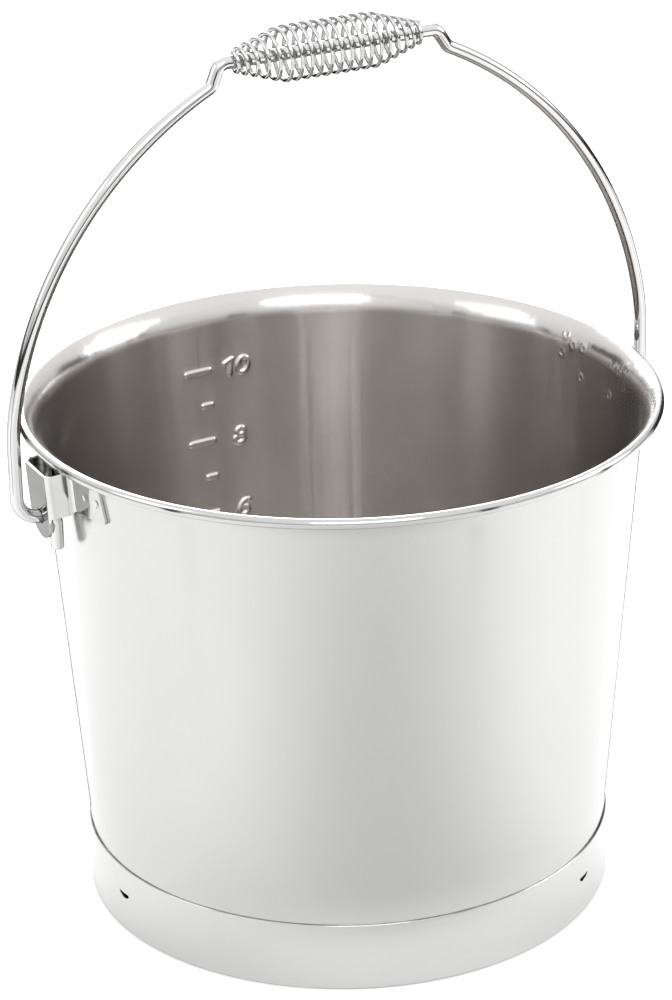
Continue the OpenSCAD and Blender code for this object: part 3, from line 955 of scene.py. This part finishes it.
# Dark cards beside the wall: how far behind its outlines, how far from them, how wide, and the
# degrees that a line of sight to an outline turns from the middle's
CARD_BEHIND = 60.0
CARD_FROM = -4.0
CARD_W = 18.0
CARD_SPREAD = 4.3
CARD_LOW = 1.0
CARD_TOP = PAIL_H - 30
# Strips further out: angle from the camera's side, and width
STRIPS = ((44, 60), (-52, 60), (90, 45), (-96, 45), (132, 230), (-134, 230))
STRIP_R = 560.0
STRIP_LOW = 50.0
STRIP_H = 400.0
# Apron of painted shadow on the floor, seen only in reflections: degrees from the camera's
# side to its middle, half its spread, its inner and outer radius, and its darkest tone
APRON_TURN, APRON_HALF = 12.0, 72.0
APRON_R = (170.0, 1200.0)
APRON_SHADOW_GREY = (0.70, 0.70, 0.70)
PAPER = (0.94, 0.94, 0.94)
# Half the floor's side, in metres, and its quads along a side
FLOOR_HALF, FLOOR_STEPS = 6.0, 24


def make_camera():
    data = bpy.data.cameras.new("camera")
    data.sensor_fit = "AUTO"
    data.sensor_width = SENSOR
    data.lens = CAMERA_LENS
    data.clip_start, data.clip_end = 0.05, 60
    camera = bpy.data.objects.new("camera", data)
    aim = Euler((math.radians(90 - CAMERA_DOWN), 0, math.radians(CAMERA_HEADING))).to_matrix()
    roll = Matrix.Rotation(math.radians(CAMERA_ROLL), 3, "Z")
    camera.matrix_world = Matrix.Translation(CAMERA_AT) @ (aim @ roll).to_4x4()
    bpy.context.scene.collection.objects.link(camera)
    bpy.context.scene.camera = camera


def make_world():
    """White room, dark along its far skirting and brightest overhead."""
    world = bpy.data.worlds.new("studio_white")
    world.use_nodes = True
    tree = world.node_tree
    where = tree.nodes.new("ShaderNodeTexCoord")
    split = tree.nodes.new("ShaderNodeSeparateXYZ")
    tree.links.new(where.outputs["Generated"], split.inputs[0])
    ramp = tree.nodes.new("ShaderNodeValToRGB")
    stops = ((0.0, ROOM_DARK), (0.07, ROOM_DARK), (0.12, ROOM_LOW), (0.7, ROOM_HIGH))
    elements = ramp.color_ramp.elements
    while len(elements) < len(stops):
        elements.new(0.5)
    for element, (position, value) in zip(elements, stops):
        grey = value / ROOM_HIGH
        element.position = position
        element.color = (grey, grey, grey, 1)
    tree.links.new(split.outputs["Z"], ramp.inputs["Fac"])
    tree.links.new(ramp.outputs["Color"], tree.nodes["Background"].inputs["Color"])
    tree.nodes["Background"].inputs["Strength"].default_value = ROOM_HIGH
    bpy.context.scene.world = world


def area_light(name, where, target, size, power):
    data = bpy.data.lights.new(name, "AREA")
    data.shape = "RECTANGLE"
    data.size, data.size_y = size
    data.energy = power
    light = bpy.data.objects.new(name, data)
    light.location = where
    direction = Vector(target) - Vector(where)
    light.rotation_euler = direction.to_track_quat("-Z", "Y").to_euler()
    bpy.context.scene.collection.objects.link(light)


def reflected_only(card):
    """Leaves a card of the studio to the steel's reflections."""
    card.visible_camera = False
    card.visible_diffuse = False
    card.visible_shadow = False
    card.visible_transmission = False


def dark_card(name, corners):
    """Dark upright card of four corners beside the pail."""
    low_a, low_b, high_b, high_a = [np.array(c, float) for c in corners]
    rows = 9
    t = np.linspace(0, 1, rows)[:, None]
    points = np.stack([low_a + (high_a - low_a) * t, low_b + (high_b - low_b) * t], axis=1)
    card = finish_object(name, points.reshape(-1, 3), grid_faces(rows, 2, False, False))
    n = Nodes(name)
    n.set(n.bsdf, Base_Color=(0.01, 0.01, 0.01, 1), Roughness=0.9)
    paint(card, n.material)
    reflected_only(card)


def make_apron():
    """Greyer sheet on the floor in front, a painted shadow that only reflections see, which fades
    out to both sides and shades the middle of the wall's reflection."""
    middle = math.radians(CAMERA_HEADING - 90 + APRON_TURN)
    half = math.radians(APRON_HALF)
    rows, cols = 9, 49
    a = np.linspace(middle - half, middle + half, cols)[None, :]
    r = np.linspace(*APRON_R, rows)[:, None]
    points = np.stack([r * np.cos(a), r * np.sin(a), np.full((rows, cols), 0.5)], axis=-1)
    painted_shadow_apron = finish_object("painted_shadow_apron", points.reshape(-1, 3), grid_faces(rows, cols, False, False))
    n = Nodes("painted_shadow_apron")
    split = n.add("ShaderNodeSeparateXYZ")
    n.link(n.polar(), split.inputs[0])
    off = n.add("ShaderNodeMath", operation="SUBTRACT")
    n.link(split.outputs["X"], off.inputs[0])
    off.inputs[1].default_value = middle
    away = n.add("ShaderNodeMath", operation="ABSOLUTE")
    n.link(off.outputs[0], away.inputs[0])
    # The grey is painted shadow, darkest in front and fading to the paper's tone at both sides
    fade = n.remap(away.outputs[0], 0, 1, 0, half, "SMOOTHSTEP")
    n.link(n.mix_colour(fade, APRON_SHADOW_GREY, PAPER), n.bsdf.inputs["Base Color"])
    n.set(n.bsdf, Roughness=0.9)
    paint(painted_shadow_apron, n.material)
    reflected_only(painted_shadow_apron)


def make_cards():
    """A card beside each outline of the wall as the camera sees it, close behind it, and strips
    further out all round for the rods and the ears to mirror."""
    drop = CARD_BEHIND * math.tan(math.radians(CAMERA_DOWN))
    for name, side in (("left_card", -1), ("right_card", 1)):
        heading = math.radians(CAMERA_HEADING - side * CARD_SPREAD)
        ahead = np.array([-math.sin(heading), math.cos(heading)])
        right = np.array([math.cos(heading), math.sin(heading)])
        corners = []
        for z, across in ((CARD_LOW, 0), (CARD_LOW, 1), (CARD_TOP, 1), (CARD_TOP, 0)):
            out = wall_r(z + drop) + CARD_FROM + across * CARD_W
            corners.append((*(side * right * out + ahead * CARD_BEHIND), z))
        dark_card(name, corners)
    for i, (turn, width) in enumerate(STRIPS):
        a = math.radians(CAMERA_HEADING - 90 + turn)
        out = np.array([math.cos(a), math.sin(a)]) * STRIP_R
        across = np.array([-math.sin(a), math.cos(a)]) * width / 2
        dark_card(f"strip_{i + 1}", (
            (*(out - across), STRIP_LOW), (*(out + across), STRIP_LOW),
            (*(out + across), STRIP_H), (*(out - across), STRIP_H)))


def make_floor():
    a = np.linspace(-FLOOR_HALF, FLOOR_HALF, FLOOR_STEPS + 1) / MM
    x, y = np.meshgrid(a, a)
    points = np.stack([x, y, np.zeros(x.shape)], axis=-1)
    faces = grid_faces(*x.shape, False, False)
    floor = finish_object("floor", points.reshape(-1, 3), faces)
    paint(floor, floor_paint())


# ---------------------------------------------------------------------------------------------
# Put together
# ---------------------------------------------------------------------------------------------
make_camera()
make_world()
make_floor()
make_cards()
make_apron()
for light in LIGHTS:
    area_light(*light)

# Colours of the steels where they are light and where they are dark
WARM = (0.655, 0.635, 0.62), (0.60, 0.58, 0.565)
OUTSIDE = (0.575, 0.575, 0.57), (0.54, 0.54, 0.535)
RING = (0.63, 0.63, 0.625), (0.59, 0.59, 0.585)
# The groove's near-black colour is painted shade, standing in for the shadow in the gap between
# the wall's foot and the foot ring's top edge
GROOVE_PAINTED_SHADE = (0.10, 0.10, 0.10), (0.07, 0.07, 0.07)
EAR = (0.64, 0.64, 0.635), (0.58, 0.58, 0.575)
BAIL = (0.68, 0.68, 0.675), (0.62, 0.62, 0.615)
WIRE = (0.60, 0.60, 0.60), (0.52, 0.52, 0.52)

outside_steel = sheet_steel(
    "steel_outside", *OUTSIDE, roughness=0.16, spread=0.03, anisotropic=0.9, lines=0.10)
inside_steel = sheet_steel(
    "steel_inside", *WARM, roughness=0.20, spread=0.04, anisotropic=0.75, lines=0.25,
    streaks=0.0005)
groove_painted_shade_steel = rod_steel("steel_groove_painted_shade", *GROOVE_PAINTED_SHADE, roughness=0.4, spread=0.05)
ring_steel = sheet_steel(
    "steel_ring", *RING, roughness=0.17, spread=0.03, anisotropic=0.9, lines=0.10)
bottom_steel = sheet_steel(
    "steel_bottom", *WARM, roughness=0.27, spread=0.04, anisotropic=0.4, lines=0.25)
ear_steel = rod_steel("steel_ear", *EAR, roughness=0.08, spread=0.03)
bail_steel = rod_steel("steel_bail", *BAIL, roughness=0.06, spread=0.02)
spring_steel = rod_steel("steel_spring", *EAR, roughness=0.05, spread=0.02)
wire_steel = rod_steel("steel_rim_wire", *WIRE, roughness=0.3, spread=0.05)

wall = make_wall()
paint(wall, outside_steel, inside_steel, groove_painted_shade_steel)
ring = make_foot_ring()
paint(ring, ring_steel)
bottom = make_bottom()
paint(bottom, bottom_steel)
# The wire in the rim's curl is hardly seen, so the CAD's own piece stays
paint(frame["nodes"]["rim_wire"], wire_steel)
ears = [make_ear("ear_bracket_left", -1), make_ear("ear_bracket_right", 1)]
for ear in ears:
    paint(ear, ear_steel)
bail = make_bail()
paint(bail, bail_steel)
coil = make_coil()
paint(coil, spring_steel)

PIECES = (
    (wall, "pail", "wall", "wall_steel"),
    (ring, "pail", "foot_ring", "ring_steel"),
    (bottom, "pail", "bottom", "bottom_steel"),
    (ears[0], "pail", "ear_left", "ear_steel"),
    (ears[1], "pail", "ear_right", "ear_steel"),
    (bail, "bail", "bail", "bail_steel"),
    (coil, "grip", "grip_spring", "spring_steel"),
)
for piece, body, node, slot in PIECES:
    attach(piece, body)
    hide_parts(node)

# Polished sheets face each other inside the pail, so light bounces more often than usual
BOUNCES = 20
bpy.context.scene.view_settings.view_transform = "Standard"
bpy.context.scene.cycles.max_bounces = BOUNCES
bpy.context.scene.cycles.glossy_bounces = BOUNCES
